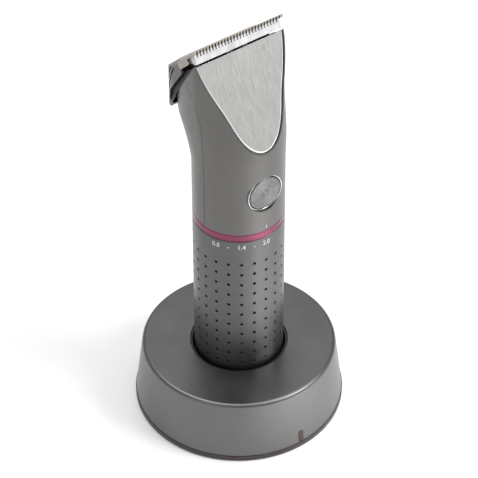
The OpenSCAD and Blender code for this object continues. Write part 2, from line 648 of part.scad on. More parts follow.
module pressure_spring() color(steel) groomer() for (x = [-1, 1]) translate([x * 9.5, 0, 0])
    side_view(0.8) polygon([blade_point(6, 2.3), blade_point(11.3, 3.2), blade_point(11.3, 3.7),
        blade_point(6, 2.8)]);
module moving_blade() color([0.95, 0.95, 0.94]) groomer() difference() {
    union() {
        side_view(2 * cutter_half) polygon([blade_point(1.3, 0.03), [-0.7, 184.7], blade_point(5.2, 3.0),
            blade_point(5.2, 0.03)]);
        side_view(2 * cutter_back_half) polygon([blade_point(4, 0.03), blade_point(4, cutter_t),
            blade_point(cutter_len, cutter_t), blade_point(cutter_len, 0.03)]);
    }
    for (i = [-teeth / 2 + 1 : teeth / 2 - 1]) translate([i * tooth_step, 0, 0]) side_view(tooth_gap)
        polygon([tip + [-6, 3], [-6, notch_z], [-0.2, notch_z], blade_point(4.4, -1)]);
}
module drive_yoke() color(black) groomer() intersection() {
    for (x = [-1, 1]) translate([x * yoke_x, 0, 0]) side_view(2.4) polygon([
        blade_point(5.6, cutter_t), blade_point(10.9, cutter_t), blade_point(10.9, 8), blade_point(5.6, 8)]);
    above_rim(0.6);
}

dock_shell();
dock_base_plate();
dock_well();
contact_block();
rubber_feet();
dock_screws();
dock_circuit_board();
indicator_led();
indicator_lens();
dc_inlet();
charge_pin_left();
charge_pin_right();
pin_spring_left();
pin_spring_right();
bottom_cap();
charge_contacts();
core_tube();
battery_cell();
battery_tabs();
collar();
seal_ring();
accent_ring();
front_housing();
rear_housing();
face_plate();
button_bezel();
power_button();
tact_switch();
circuit_board();
motor_can();
motor_bracket();
motor_leads();
bracket_screws();
motor_shaft();
eccentric();
bulkhead();
bulkhead_screws();
heel_pin();
grip_sleeve();
cam_ring();
dial_detent();
push_rod();
blade_frame();
blade_cover();
comb_blade();
blade_screws();
taper_carriage();
pressure_spring();
moving_blade();
drive_yoke();
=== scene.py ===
"""Cordless body groomer standing in its round charging dock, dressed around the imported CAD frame."""
import json
import math

import bmesh
import bpy
import numpy as np
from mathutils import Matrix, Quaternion, Vector


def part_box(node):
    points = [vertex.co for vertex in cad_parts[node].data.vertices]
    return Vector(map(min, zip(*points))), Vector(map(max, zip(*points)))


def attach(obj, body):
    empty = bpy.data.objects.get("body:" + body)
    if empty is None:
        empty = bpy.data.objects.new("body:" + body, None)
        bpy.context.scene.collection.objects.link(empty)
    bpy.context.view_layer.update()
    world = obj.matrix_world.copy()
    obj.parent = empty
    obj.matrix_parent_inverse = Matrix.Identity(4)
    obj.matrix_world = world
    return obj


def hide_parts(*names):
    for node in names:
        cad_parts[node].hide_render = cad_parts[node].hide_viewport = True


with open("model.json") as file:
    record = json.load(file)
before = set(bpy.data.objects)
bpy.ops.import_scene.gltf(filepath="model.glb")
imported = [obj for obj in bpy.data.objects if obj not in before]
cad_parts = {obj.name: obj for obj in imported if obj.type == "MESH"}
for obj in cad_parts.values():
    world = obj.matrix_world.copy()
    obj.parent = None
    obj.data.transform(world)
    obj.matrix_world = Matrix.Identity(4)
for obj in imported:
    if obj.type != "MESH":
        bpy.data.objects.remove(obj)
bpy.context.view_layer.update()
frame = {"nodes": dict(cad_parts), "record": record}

MM = 0.001


def mm_box(node):
    """Lowest and highest corner of a CAD node in millimetres."""
    low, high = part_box(node)
    return low / MM, high / MM


# --- Driving dimensions, in millimetres, from the frame where it gives them ---
SEAT = mm_box("bottom_cap")[0].z
BARREL_R = mm_box("grip_sleeve")[1].x
SLEEVE_BOTTOM = mm_box("grip_sleeve")[0].z - SEAT
SLEEVE_TOP = mm_box("grip_sleeve")[1].z - SEAT
SLEEVE_WALL = 1.9
CORE_FIT_R = 15.1
HOUSING_Z = mm_box("front_housing")[0].z - SEAT
HEAD_Z = 184.1
WALL = 1.7
DOCK_H = mm_box("dock_shell")[1].z
DOCK_BASE_R = 47.4
DOCK_TOP_R = 43.8
DOCK_HOLE_R = 21.8
DOCK_EDGE_R = 1.8
DOCK_WALL = 2.2
BASE_H = mm_box("dock_shell")[0].z
DOCK_SLOPE = (DOCK_BASE_R - DOCK_TOP_R) / DOCK_H
LENS_W = 2.7
LENS_TOP = 9.3
BUTTON_Z = 119.3
BUTTON_R = 7.9
BUTTON_FACE = 19.2
BUTTON_BACK = 15.2
FLARE_Z = 125.0
FLARE_RUN = 21.0
FLARE_GAIN = 5.5
BACK_MOST = 7.0
HEAD_GROW = 2.7
FRONT_TAPER = 0.54
TAPER_Z = (136.0, 166.0)
BACK_SQUARE = 0.6
BACK_SQUARE_RUN = 25.0
FACE_TILT = math.radians(23.9)
FACE_TIP_Z = 141.0
FACE_LEN = (HEAD_Z - FACE_TIP_Z) / math.cos(FACE_TILT)
FACE_T = 0.9
RIM_SLOPE = 1.5
SEAM_Y = -2.5
SEAM_BEND_Z = 150.0
SEAM_BEND = 9.2
SEAM_RUN = 25.3
SEAM_GAP = 0.2
HEEL = (25.3, 148.2)
HEEL_RELIEF_R = 2.95
HOOD_HALF = 22.0
HOOD_BACK = 27.8
HOOD_SIDE_R = 13.5
SEAM_POWER = 1.8
SEAM_TOP_RANGE = (165, 180)
POCKET_BACKING = 1.4
HOUSING_EDGE = (0.16, 2, 40)
ROW_EASE = 1.7
AXIS_R = 0.0005
FULL_TURN = 2 * math.pi


# --- Outline functions of the housing, the same as the CAD's ---
def lerp(a, b, k):
    return a + (b - a) * k


def smooth(k):
    k = max(0.0, min(1.0, k))
    return k * k * (3 - 2 * k)


def signed_pow(v, p):
    return math.copysign(abs(v) ** p, v)


def half_width(z):
    return BARREL_R + HEAD_GROW * smooth((z - FLARE_Z) / (HEAD_Z - FLARE_Z))


def back_depth(z):
    return BARREL_R + min(BACK_MOST, FLARE_GAIN * (max(0.0, z - FLARE_Z) / FLARE_RUN) ** 2)


def front_n(z):
    return 2 - FRONT_TAPER * smooth((z - TAPER_Z[0]) / (TAPER_Z[1] - TAPER_Z[0]))


def back_n(z):
    return 2 + BACK_SQUARE * smooth((z - FLARE_Z) / BACK_SQUARE_RUN)


def seam(z):
    return SEAM_Y + SEAM_BEND * (max(0.0, z - SEAM_BEND_Z) / SEAM_RUN) ** SEAM_POWER


def face_y(z, depth=0.0):
    """Y of the face plane at height z, the plane pushed in by depth."""
    return -BARREL_R + (z - FACE_TIP_Z) * math.tan(FACE_TILT) + depth / math.cos(FACE_TILT)


RIM_FRONT_Y = face_y(HEAD_Z)


def rim_z(y):
    """Height of the rim plane at y, less the groove that the blade set's heel turns in."""
    z = HEAD_Z - RIM_SLOPE * (y - RIM_FRONT_Y)
    reach = HEEL_RELIEF_R ** 2 - (y - HEEL[0]) ** 2
    return min(z, HEEL[1] - math.sqrt(reach)) if reach > 0 else z


def solve(function, low, high):
    """Root of a function that changes sign once between low and high."""
    rising = function(high) > function(low)
    for _ in range(60):
        mid = (low + high) / 2
        low, high = (low, mid) if (function(mid) > 0) == rising else (mid, high)
    return (low + high) / 2


def skin_point(t, z, inset):
    front = math.sin(t) < 0
    n = front_n(z) if front else back_n(z)
    depth = (BARREL_R if front else back_depth(z)) - inset
    x = (half_width(z) - inset) * signed_pow(math.cos(t), 2 / n)
    return x, depth * signed_pow(math.sin(t), 2 / n)


def skin_angle(y, z, inset):
    n = front_n(z) if y < 0 else back_n(z)
    depth = (BARREL_R if y < 0 else back_depth(z)) - inset
    return math.copysign(math.asin(min(1.0, abs(y) / depth) ** (n / 2)), y)


def skin_row(start, end, inset, steps):
    """Points across the housing's skin between two places given as (y, z)."""
    (y0, z0), (y1, z1) = start, end
    a0, a1 = skin_angle(y0, z0, inset), skin_angle(y1, z1, inset)
    row = []
    for i in range(steps + 1):
        t = lerp(a0, a1, i / steps)
        z = lerp(z0, z1, i / steps)
        for _ in range(8):
            z = lerp(z0, z1, (skin_point(t, z, inset)[1] - y0) / (y1 - y0))
        x, y = skin_point(t, z, inset)
        row.append((max(0.0, x), y, z))
    return row


def face_half(u):
    """Half the width of the housing's cut by the face plane, u up from its lowest point."""
    z = FACE_TIP_Z + u * math.cos(FACE_TILT)
    n = front_n(z)
    return half_width(z) * max(0.0, 1 - (-face_y(z) / BARREL_R) ** n) ** (1 / n)


def offset_outline(gap):
    """The face's half outline drawn in by gap, as arrays of u and half width."""
    us = [FACE_LEN * 1.04 * (i / 400) ** 2 for i in range(401)]
    curve = np.array([[face_half(min(u, FACE_LEN)), u] for u in us])
    slope = np.gradient(curve, axis=0)
    normal = np.stack([slope[:, 1], -slope[:, 0]], 1)
    normal /= np.linalg.norm(normal, axis=1)[:, None]
    normal[0] = (0, -1)
    drawn = curve - gap * normal
    return drawn[:, 1], drawn[:, 0]


def face_point(x, u, d):
    """A point of the face plane in the groomer's frame, d out of the plane."""
    y = -BARREL_R + u * math.sin(FACE_TILT) - d * math.cos(FACE_TILT)
    return x, y, FACE_TIP_Z + u * math.cos(FACE_TILT) + d * math.sin(FACE_TILT)


def rim_u(d):
    """How far up the face plane, pushed out by d, its crossing with the rim plane is."""
    def above(u):
        _, y, z = face_point(0, u, d)
        return z - HEAD_Z + RIM_SLOPE * (y - RIM_FRONT_Y)
    return solve(above, FACE_LEN - 4, FACE_LEN + 4)


# --- Mesh helpers ---
def link(name, mesh):
    obj = bpy.data.objects.new(name, mesh)
    bpy.context.scene.collection.objects.link(obj)
    return obj


def clean(mesh, merge=0.0005, flat=None):
    """Joins doubled points, drops empty faces and turns the faces outwards; flat joins level faces."""
    bm = bmesh.new()
    bm.from_mesh(mesh)
    bmesh.ops.remove_doubles(bm, verts=bm.verts, dist=merge * MM)
    bmesh.ops.dissolve_degenerate(bm, edges=bm.edges, dist=merge * MM)
    if flat is not None:
        bmesh.ops.dissolve_limit(bm, angle_limit=math.radians(flat), verts=bm.verts, edges=bm.edges)
    bmesh.ops.recalc_face_normals(bm, faces=bm.faces)
    bm.to_mesh(mesh)
    bm.free()


def raw_object(name, points, faces, lift=0.0):
    mesh = bpy.data.meshes.new(name)
    mesh.from_pydata([(x * MM, y * MM, (z + lift) * MM) for x, y, z in points], [], faces)
    clean(mesh)
    return link(name, mesh)


def apply_modifiers(obj):
    bpy.context.view_layer.update()
    depsgraph = bpy.context.evaluated_depsgraph_get()
    mesh = bpy.data.meshes.new_from_object(obj.evaluated_get(depsgraph), depsgraph=depsgraph)
    obj.modifiers.clear()
    obj.data = mesh


def bevel(obj, width, segments=2, angle=35):
    modifier = obj.modifiers.new("bevel", "BEVEL")
    modifier.width = width * MM
    modifier.segments = segments
    modifier.limit_method = "ANGLE"
    modifier.angle_limit = math.radians(angle)
    modifier.miter_outer = "MITER_ARC"
    apply_modifiers(obj)


def cut(obj, *cutters):
    """Takes the cutters out of obj."""
    for cutter in cutters:
        modifier = obj.modifiers.new("cut", "BOOLEAN")
        modifier.operation = "DIFFERENCE"
        modifier.solver = "EXACT"
        modifier.object = cutter
    apply_modifiers(obj)
    for cutter in cutters:
        bpy.data.objects.remove(cutter)
    clean(obj.data)


def dress(obj, body, slot, replaces=(), crease=32, finish=None):
    """Gives a finished mesh its shading, its slot's material and its body; finish names a material of its
    own.
    """
    obj.data.shade_smooth()
    obj.data.set_sharp_from_angle(angle=math.radians(crease))
    modifier = obj.modifiers.new("shading", "WEIGHTED_NORMAL")
    modifier.keep_sharp = True
    apply_modifiers(obj)
    obj.data.materials.clear()
    obj.data.materials.append(MATERIALS[finish or slot])
    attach(obj, body)
    if replaces:
        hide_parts(*replaces)


def lathe(profile, segments):
    """Points and faces of a closed profile of (radius, height) turned about Z."""
    points = []
    faces = []
    count = len(profile)
    for i in range(segments):
        a = FULL_TURN * i / segments
        points += [(r * math.cos(a), r * math.sin(a), z) for r, z in profile]
    for i in range(segments):
        k = (i + 1) % segments
        for j in range(count):
            m = (j + 1) % count
            faces.append((i * count + j, k * count + j, k * count + m, i * count + m))
    return points, faces


def rounded(corners, steps=5):
    """A closed outline whose corners, given as (x, y, radius), are turned into arcs."""
    outline = []
    for i, (x, y, r) in enumerate(corners):
        here = Vector((x, y))
        if r == 0:
            outline.append((x, y))
            continue
        before = (Vector(corners[i - 1][:2]) - here).normalized()
        after = (Vector(corners[(i + 1) % len(corners)][:2]) - here).normalized()
        half = before.angle(after) / 2
        reach = r / math.tan(half)
        centre = here + (before + after).normalized() * r / math.sin(half)
        start, end = here + before * reach - centre, here + after * reach - centre
        turn = start.angle_signed(end)
        for k in range(steps + 1):
            a = -turn * k / steps
            arm = Vector((start.x * math.cos(a) - start.y * math.sin(a),
                          start.x * math.sin(a) + start.y * math.cos(a)))
            outline.append(tuple(centre + arm))
    return outline


def prism(outline, low, high, place):
    """An outline made solid between two depths; place turns (a, b, depth) into (x, y, z)."""
    count = len(outline)
    points = [place(a, b, d) for d in (low, high) for a, b in outline]
    faces = [tuple(range(count)), tuple(range(2 * count - 1, count - 1, -1))]
    faces += [(i, (i + 1) % count, count + (i + 1) % count, count + i) for i in range(count)]
    return points, faces


def from_front(a, b, d):
    """Places an outline seen from the front, d towards the viewer."""
    return a, -d, b


def sheet_faces(rows, offset=0):
    """Quads of a grid whose rows all have the same number of points."""
    wide = len(rows[0])
    return [(offset + j * wide + i, offset + j * wide + i + 1, offset + (j + 1) * wide + i + 1,
             offset + (j + 1) * wide + i) for j in range(len(rows) - 1) for i in range(wide - 1)]


def shell_half(outer, inner):
    """A closed half shell between two grids of the same size, left open on its last column at X = 0."""
    wide, tall = len(outer[0]), len(outer)
    points = [p for row in outer for p in row] + [p for row in inner for p in row]
    shift = wide * tall
    faces = sheet_faces(outer) + [f[::-1] for f in sheet_faces(inner, shift)]
    edge = [j * wide for j in range(tall)]
    bottom = list(range(wide))
    top = [(tall - 1) * wide + i for i in range(wide)]
    for line in (edge, bottom, top):
        faces += [(a, b, b + shift, a + shift) for a, b in zip(line, line[1:])]
    return points, faces


def mirrored(points, faces):
    """The shape and its mirror image across X = 0."""
    count = len(points)
    other = [(-x, y, z) for x, y, z in points]
    return points + other, faces + [tuple(count + i for i in f[::-1]) for f in faces]


def softened(node, name, width, segments=2, angle=35):
    """A CAD node's shape as a new mesh with joined faces and softened edges."""
    source = frame["nodes"][node].data
    mesh = bpy.data.meshes.new(name)
    mesh.from_pydata([v.co[:] for v in source.vertices], [], [p.vertices[:] for p in source.polygons])
    clean(mesh, merge=0.002, flat=0.6)
    obj = link(name, mesh)
    bevel(obj, width, segments, angle)
    return obj


# --- Materials ---
MATERIALS = {}


class Finish:
    """A procedural material on Principled BSDF, with its patterns in object space."""

    def __init__(self, slot, metallic, roughness, **sockets):
        self.material = bpy.data.materials.new(slot)
        self.material.use_nodes = True
        self.tree = self.material.node_tree
        self.shader = self.tree.nodes["Principled BSDF"]
        self.shader.inputs["Metallic"].default_value = metallic
        self.shader.inputs["Roughness"].default_value = roughness
        for name, value in sockets.items():
            self.shader.inputs[name.replace("_", " ")].default_value = value
        self.place = self.add("ShaderNodeTexCoord").outputs["Object"]
        self.height = None
        MATERIALS[slot] = self.material

    def add(self, kind, **settings):
        node = self.tree.nodes.new(kind)
        for name, value in settings.items():
            setattr(node, name, value)
        return node

    def wire(self, start, end):
        self.tree.links.new(start, end)

    def stretched(self, scale):
        """Object coordinates scaled by a given amount for each axis."""
        mapping = self.add("ShaderNodeMapping")
        mapping.inputs["Scale"].default_value = scale
        self.wire(self.place, mapping.inputs["Vector"])
        return mapping.outputs["Vector"]

    def noise(self, size, detail=3.0, stretch=(1, 1, 1), rough=0.55):
        """Noise whose features are about size millimetres across."""
        node = self.add("ShaderNodeTexNoise")
        node.inputs["Scale"].default_value = 1.0
        node.inputs["Detail"].default_value = detail
        node.inputs["Roughness"].default_value = rough
        self.wire(self.stretched([s / (size * MM) for s in stretch]), node.inputs["Vector"])
        return node.outputs["Fac"]

    def spread(self, value, low, high, start=0.3, end=0.7):
        """Maps a pattern's range start..end to low..high."""
        node = self.add("ShaderNodeMapRange")
        for name, number in (("From Min", start), ("From Max", end), ("To Min", low), ("To Max", high)):
            node.inputs[name].default_value = number
        self.wire(value, node.inputs["Value"])
        return node.outputs["Result"]

    def colour(self, value, dark, light, start=0.3, end=0.7):
        """Colours the surface between two shades by a pattern."""
        ramp = self.add("ShaderNodeValToRGB")
        ramp.color_ramp.elements[0].position = start
        ramp.color_ramp.elements[0].color = (*dark, 1)
        ramp.color_ramp.elements[1].position = end
        ramp.color_ramp.elements[1].color = (*light, 1)
        self.wire(value, ramp.inputs["Fac"])
        self.wire(ramp.outputs["Color"], self.shader.inputs["Base Color"])

    def gloss(self, value, low, high, start=0.3, end=0.7):
        self.wire(self.spread(value, low, high, start, end), self.shader.inputs["Roughness"])

    def bump(self, value, depth):
        """Adds relief of about depth millimetres; a second call lies on top of the first."""
        node = self.add("ShaderNodeBump")
        node.inputs["Strength"].default_value = 1.0
        node.inputs["Distance"].default_value = depth * MM
        self.wire(value, node.inputs["Height"])
        if self.height is not None:
            self.wire(self.height, node.inputs["Normal"])
        self.height = node.outputs["Normal"]
        self.wire(self.height, self.shader.inputs["Normal"])


def shade(colour, factor):
    return tuple(c * factor for c in colour)


def satin_metal(slot, colour, roughness, flake=0.18, relief=0.0012):
    """Metallic paint: fine flakes, slow changes of tone and an almost even satin gloss."""
    finish = Finish(slot, 1.0, roughness, Coat_Weight=0.12, Coat_Roughness=0.22)
    flakes = finish.noise(flake, 2.0)
    clouds = finish.noise(14.0, 3.0)
    mixed = finish.add("ShaderNodeMath", operation="MULTIPLY_ADD")
    mixed.inputs[1].default_value = 0.35
    finish.wire(flakes, mixed.inputs[0])
    finish.wire(finish.spread(clouds, 0.24, 0.40), mixed.inputs[2])
    finish.colour(mixed.outputs[0], shade(colour, 0.90), shade(colour, 1.10))
    finish.gloss(clouds, roughness - 0.03, roughness + 0.04)
    finish.bump(flakes, relief)


def brushed_metal(slot, colour, roughness, stretch, relief=0.0015, size=0.16):
    """Metal with fine grain drawn out along one axis."""
    finish = Finish(slot, 1.0, roughness)
    grain = finish.noise(size, 4.0, stretch, 0.7)
    clouds = finish.noise(11.0, 2.0)
    finish.colour(grain, shade(colour, 0.90), shade(colour, 1.07))
    finish.gloss(finish.noise(size * 2.2, 3.0, stretch), roughness - 0.06, roughness + 0.08)
    finish.bump(grain, relief)
    finish.bump(clouds, 0.004)


def moulded_plastic(slot, colour, roughness, relief=0.004, size=0.35):
    """Moulded plastic or rubber with a fine spark-eroded texture and faint handling marks."""
    finish = Finish(slot, 0.0, roughness, Specular_IOR_Level=0.45)
    grain = finish.noise(size, 3.0)
    wear = finish.noise(6.0, 4.0)
    finish.colour(wear, shade(colour, 0.82), shade(colour, 1.22))
    finish.gloss(wear, roughness - 0.06, roughness + 0.08)
    finish.bump(grain, relief)


def make_materials():
    satin_metal("gunmetal_satin", (0.138, 0.135, 0.130), 0.38, relief=0.0006)
    satin_metal("grip_metal", (0.118, 0.121, 0.122), 0.40, 0.30, 0.004)
    satin_metal("dock_metal", (0.148, 0.148, 0.146), 0.36, relief=0.0006)
    brushed_metal("face_plate_steel", (0.60, 0.60, 0.585), 0.34, (1.0, 0.05, 0.05), 0.0006, 0.12)
    # The chamfer's near-white colour, well above the plate's own, is a painted highlight on a real modelled
    # chamfer.
    brushed_metal("chamfer_painted_highlight", (0.90, 0.90, 0.89), 0.30, (1, 1, 1), 0.0004)
    brushed_metal("polished_steel", (0.50, 0.50, 0.50), 0.16, (1, 1, 1), 0.0006)
    brushed_metal("blade_steel", (0.32, 0.295, 0.26), 0.28, (0.1, 1, 1), 0.0003, 0.3)
    brushed_metal("screw_steel", (0.50, 0.50, 0.49), 0.28, (1, 1, 1), 0.001)
    brushed_metal("spring_steel", (0.55, 0.55, 0.53), 0.22, (1, 1, 1), 0.0008)
    brushed_metal("motor_steel", (0.52, 0.52, 0.50), 0.34, (1, 1, 0.1), 0.001)
    brushed_metal("contact_brass", (0.72, 0.53, 0.24), 0.20, (1, 1, 1), 0.0008)
    satin_metal("accent_anodised", (0.205, 0.055, 0.100), 0.30, 0.12, 0.0008)
    moulded_plastic("black_plastic", (0.012, 0.012, 0.013), 0.42)
    moulded_plastic("dark_base", (0.034, 0.023, 0.025), 0.38)
    moulded_plastic("soft_rubber", (0.020, 0.020, 0.021), 0.72, 0.008)
    moulded_plastic("switch_black", (0.018, 0.018, 0.020), 0.46)
    moulded_plastic("board_green", (0.012, 0.075, 0.030), 0.34, 0.003, 0.9)
    moulded_plastic("battery_wrap", (0.030, 0.105, 0.330), 0.30, 0.002, 1.2)
    moulded_plastic("wire_red", (0.42, 0.018, 0.014), 0.44)
    moulded_plastic("white_acetal", (0.66, 0.65, 0.61), 0.40)
    moulded_plastic("white_ceramic", (0.63, 0.63, 0.645), 0.22, 0.0008, 0.25)
    moulded_plastic("printed_white", (0.58, 0.58, 0.58), 0.50, 0.001, 0.2)
    moulded_plastic("indicator_red", (0.038, 0.015, 0.016), 0.16, 0.0008)
    moulded_plastic("printed_grey", (0.045, 0.045, 0.045), 0.50, 0.001, 0.2)
    make_spun_metal()


def make_spun_metal():
    """Turned button face: rings about its own centre line, with the gloss drawn across them."""
    finish = Finish("spun_metal", 1.0, 0.30, Anisotropic=0.95)
    centred = finish.add("ShaderNodeVectorMath", operation="SUBTRACT")
    centred.inputs[1].default_value = (0, 0, (BUTTON_Z + SEAT) * MM)
    finish.wire(finish.place, centred.inputs[0])
    around = finish.add("ShaderNodeVectorMath", operation="CROSS_PRODUCT")
    around.inputs[1].default_value = (0, 1, 0)
    finish.wire(centred.outputs[0], around.inputs[0])
    tangent = finish.add("ShaderNodeVectorMath", operation="NORMALIZE")
    finish.wire(around.outputs[0], tangent.inputs[0])
    rings = finish.add("ShaderNodeTexWave", wave_type="RINGS", rings_direction="Y")
    rings.inputs["Scale"].default_value = 1 / (0.9 * MM)
    rings.inputs["Distortion"].default_value = 0.6
    rings.inputs["Detail"].default_value = 3.0
    rings.inputs["Detail Scale"].default_value = 6.0
    finish.wire(centred.outputs[0], rings.inputs["Vector"])
    finish.wire(tangent.outputs[0], finish.shader.inputs["Tangent"])
    finish.colour(rings.outputs["Fac"], (0.15, 0.15, 0.148), (0.21, 0.21, 0.206), 0.0, 1.0)
    finish.gloss(finish.noise(1.5, 3.0), 0.24, 0.32)
    finish.bump(rings.outputs["Fac"], 0.0012)


# --- Dock ---
def make_dock_shell():
    """The dock's turned metal shell, with slots for the indicator and the inlet."""
    top_in = DOCK_H - DOCK_WALL
    past = 3
    outer = rounded([
        (DOCK_HOLE_R, top_in, 0), (DOCK_HOLE_R, DOCK_H, 0.35), (DOCK_TOP_R - 0.25, DOCK_H, DOCK_EDGE_R),
        (DOCK_BASE_R - DOCK_SLOPE * BASE_H, BASE_H, 0.2),
        (DOCK_BASE_R - DOCK_SLOPE * BASE_H - DOCK_WALL, BASE_H, 0),
        (DOCK_BASE_R - DOCK_SLOPE * top_in - DOCK_WALL, top_in, 0)], 10)
    shell = raw_object("dock_body", *lathe(outer, 288))
    slot_half = LENS_W / 2 + 0.05
    slot_outline = [(-slot_half, BASE_H - 1), (slot_half, BASE_H - 1)]
    slot_outline += arc_points(0, LENS_TOP - LENS_W / 2, slot_half, 0, math.pi, 16)
    slot_shape = prism(slot_outline, DOCK_TOP_R - past, DOCK_BASE_R + past, from_front)
    slot_cutter = raw_object("slot_cutter", *slot_shape)
    low, high = mm_box("dc_inlet")
    gap = 0.1
    window = [(low.x - gap, low.z - gap), (high.x + gap, low.z - gap),
              (high.x + gap, high.z + gap), (low.x - gap, high.z + gap)]
    inlet_cutter = raw_object("inlet_cutter", *prism(window, -DOCK_BASE_R - past, -low.y - 2, from_front))
    cut(shell, slot_cutter, inlet_cutter)
    dress(shell, "dock", "gunmetal_satin", ["dock_shell"], finish="dock_metal")


def arc_points(x, y, r, start, end, steps):
    return [(x + r * math.cos(lerp(start, end, i / steps)), y + r * math.sin(lerp(start, end, i / steps)))
            for i in range(steps + 1)]


# --- Grip ---
DIMPLE_COLUMNS = 22
DIMPLE_ROWS = 13
DIMPLE_PITCH = 5.79
DIMPLE_TOP_Z = 82.6
DIMPLE_R = 0.68
CELL_SIDES = 24


def wrap(a, z, depth=0.0, radius=None):
    """A point a millimetres round the barrel from its front line and depth below the surface."""
    radius = BARREL_R if radius is None else radius
    turn = a / BARREL_R
    return (radius - depth) * math.sin(turn), -(radius - depth) * math.cos(turn), z


def cell_edge(k, wide, tall):
    """Point k of a cell's border, starting from the middle of its right side."""
    a = FULL_TURN * k / CELL_SIDES
    reach = 1 / max(abs(math.cos(a)), abs(math.sin(a)))
    side = CELL_SIDES // 8
    steps = ((k + side) % (2 * side)) / side - 1
    if abs(math.cos(a)) > abs(math.sin(a)) + 1e-9:
        return math.copysign(wide / 2, math.cos(a)), math.copysign(abs(steps), math.sin(a)) * tall / 2
    if abs(math.sin(a)) > abs(math.cos(a)) + 1e-9:
        return math.copysign(abs(steps), math.cos(a)) * wide / 2, math.copysign(tall / 2, math.sin(a))
    return math.cos(a) * reach * wide / 2, math.sin(a) * reach * tall / 2


def make_grip():
    """The turning grip sleeve with its grid of punched dimples."""
    wide = FULL_TURN * BARREL_R / DIMPLE_COLUMNS
    levels = ((DIMPLE_R + 0.45, 0.0), (DIMPLE_R + 0.1, 0.0), (DIMPLE_R, 0.08), (DIMPLE_R * 0.95, 1.2),
              (DIMPLE_R * 0.5, 1.4))
    points = []
    faces = []
    for column in range(DIMPLE_COLUMNS):
        for row in range(DIMPLE_ROWS):
            a, z = column * wide, DIMPLE_TOP_Z - row * DIMPLE_PITCH
            start = len(points)
            border = [cell_edge(k, wide, DIMPLE_PITCH) for k in range(CELL_SIDES)]
            points += [wrap(a + da, z + dz) for da, dz in border]
            for r, depth in levels:
                for k in range(CELL_SIDES):
                    turn = FULL_TURN * k / CELL_SIDES
                    points.append(wrap(a + r * math.cos(turn), z + r * math.sin(turn), depth))
            points.append(wrap(a, z, levels[-1][1] + 0.03))
            for ring in range(len(levels)):
                base = start + ring * CELL_SIDES
                for k in range(CELL_SIDES):
                    m = (k + 1) % CELL_SIDES
                    faces.append((base + k, base + m, base + CELL_SIDES + m, base + CELL_SIDES + k))
            base = start + len(levels) * CELL_SIDES
            faces += [(base + k, base + (k + 1) % CELL_SIDES, len(points) - 1) for k in range(CELL_SIDES)]
    grid_top = DIMPLE_TOP_Z + DIMPLE_PITCH / 2
    grid_bottom = DIMPLE_TOP_Z - (DIMPLE_ROWS - 0.5) * DIMPLE_PITCH
    edge = 0.35
    thin = BARREL_R - SLEEVE_WALL
    thin_bottom, thin_top = SLEEVE_BOTTOM + 4, SLEEVE_BOTTOM + 83
    profile = [(BARREL_R, grid_top), (BARREL_R, lerp(grid_top, SLEEVE_TOP, 0.5)),
               (BARREL_R, SLEEVE_TOP - edge)]
    profile += [(BARREL_R - edge + edge * math.cos(a), SLEEVE_TOP - edge + edge * math.sin(a))
                for a in (math.pi / 8, math.pi / 4, 3 * math.pi / 8, math.pi / 2)]
    profile += [(CORE_FIT_R, SLEEVE_TOP), (CORE_FIT_R, thin_top), (thin, thin_top),
                (thin, thin_bottom), (CORE_FIT_R, thin_bottom), (CORE_FIT_R, SLEEVE_BOTTOM)]
    profile += [(BARREL_R - edge + edge * math.sin(a), SLEEVE_BOTTOM + edge - edge * math.cos(a))
                for a in (0, math.pi / 8, math.pi / 4, 3 * math.pi / 8, math.pi / 2)]
    profile.append((BARREL_R, grid_bottom))
    segments = DIMPLE_COLUMNS * CELL_SIDES // 4
    count, base = len(profile), len(points)
    for i in range(segments):
        a = FULL_TURN * BARREL_R * i / segments + wide / 2
        points += [wrap(a, z, 0.0, r) for r, z in profile]
    for i in range(segments):
        k = (i + 1) % segments
        faces += [(base + i * count + j, base + k * count + j, base + k * count + j + 1,
                   base + i * count + j + 1) for j in range(count - 1)]
    grip = raw_object("grip", points, faces, SEAT)
    dress(grip, "dial", "gunmetal_satin", ["grip_sleeve"], finish="grip_metal")


def make_accent_ring():
    """The coloured ring between grip and housing, with its two turned grooves."""
    low, high = mm_box("accent_ring")
    bottom, top = low.z, high.z
    inner = BARREL_R - 1.75
    groove = 0.15
    outline = [(inner, bottom, 0), (BARREL_R, bottom, 0.08)]
    for z in (bottom + 0.35, top - 0.6):
        outline += [(BARREL_R, z, 0.05), (BARREL_R - groove, z, 0.05),
                    (BARREL_R - groove, z + 0.25, 0.05), (BARREL_R, z + 0.25, 0.05)]
    outline += [(BARREL_R, top, 0.08), (inner, top, 0)]
    obj = raw_object("accent_band", *lathe(rounded(outline, 3), 240))
    dress(obj, "groomer", "accent_anodised", ["accent_ring"])


# --- Housing ---
def front_starts(inset, depth, low_rows, high_rows):
    """Front line below the face and the face's edge above it, as (y, z) from the bottom up."""
    tip = solve(lambda z: face_y(z, depth) + BARREL_R - inset, FACE_TIP_Z - 9, FACE_TIP_Z + 9)
    top = solve(lambda z: rim_z(face_y(z, depth)) - z, HEAD_Z - 12, HEAD_Z + 3)
    rows = [(-(BARREL_R - inset), lerp(HOUSING_Z, tip, i / low_rows)) for i in range(low_rows)]
    return rows + [(face_y(z, depth), z) for z in
                   (lerp(tip, top, (i / high_rows) ** ROW_EASE) for i in range(high_rows + 1))]


def seam_top():
    """Height at which the seam meets the rim."""
    return solve(lambda z: rim_z(seam(z)) - z, *SEAM_TOP_RANGE)


def seam_ends(levels):
    """Seam points that go with front heights: level below the bend, drawn together above it."""
    top = seam_top()
    bend = 146.0
    most = levels[-1]
    heights = [z if z < bend else lerp(bend, top, (z - bend) / (most - bend)) for z in levels]
    return [(seam(z), z) for z in heights]


